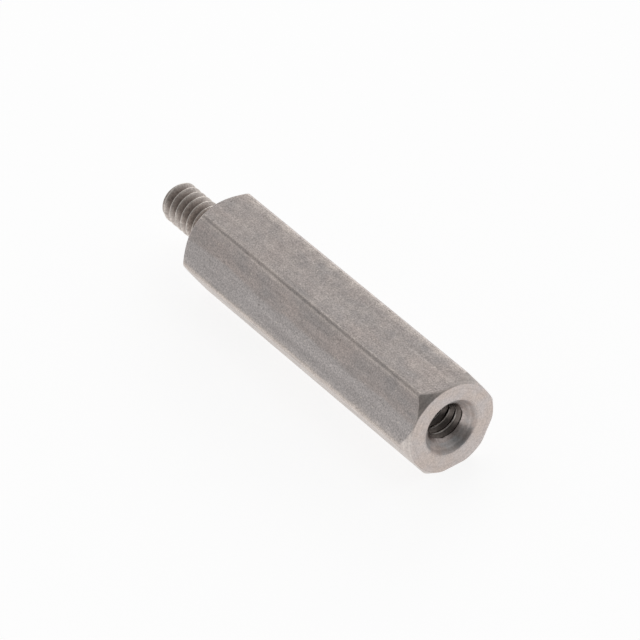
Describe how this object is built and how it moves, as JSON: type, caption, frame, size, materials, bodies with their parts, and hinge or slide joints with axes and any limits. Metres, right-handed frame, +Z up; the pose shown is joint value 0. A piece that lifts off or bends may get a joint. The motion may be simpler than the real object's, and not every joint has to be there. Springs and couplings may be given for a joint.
{
  "type": "hex standoff",
  "caption": "Male-female hex standoff: a drawn hex body with a countersunk, tapped blind hole at one end and a short threaded stud at the other.",
  "frame": {"origin": "midway along the whole length, on the surface that the standoff lies on", "axes": "+X along the axis, out of the tapped mouth, so the stud points to -X; +Z up, square to the flat that it lies on"},
  "size_m": [0.0302, 0.0072, 0.0063],
  "materials": {
    "stainless": "tumbled satin stainless steel"
  },
  "bodies": {
    "root": {"standoff": "stainless"}
  },
  "joints": []
}
